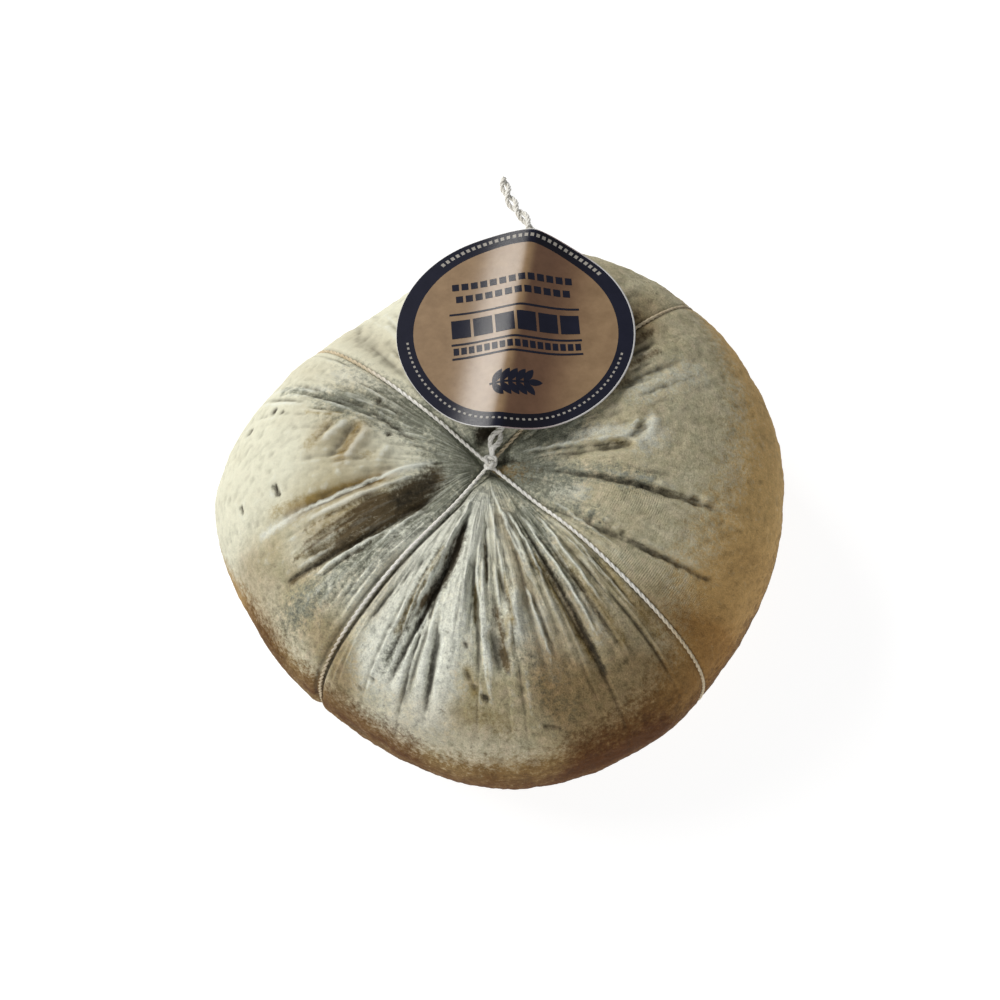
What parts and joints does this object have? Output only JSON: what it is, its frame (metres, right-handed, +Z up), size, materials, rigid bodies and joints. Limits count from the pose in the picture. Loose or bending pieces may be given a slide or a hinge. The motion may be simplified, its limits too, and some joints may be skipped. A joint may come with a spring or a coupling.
{
  "type": "goat cheese",
  "caption": "Cloth-matured goat cheese, a flattened bag shape with folds that fan out from a tied knot, with string round it, a folded round card label and a hanging cord.",
  "frame": {"origin": "on the surface that the cheese rests on, under the middle of the box round the cheese, its strings, knot and label", "axes": "+Z up, -Y to the front, where the two front strings spread out, +Y to the back, where the cord hangs over"},
  "size_m": [0.2096, 0.2724, 0.1002],
  "materials": {
    "rind": "matt dry cheese rind, cream with grey-green and brown mould",
    "twine": "off-white twisted cotton",
    "card": "satin coated card, tan with a dark blue border"
  },
  "bodies": {
    "root": {"cheese": "rind", "string_loop_a": "twine", "string_loop_b": "twine", "knot": "twine", "hanging_cord": "twine", "label": "card"}
  },
  "joints": []
}
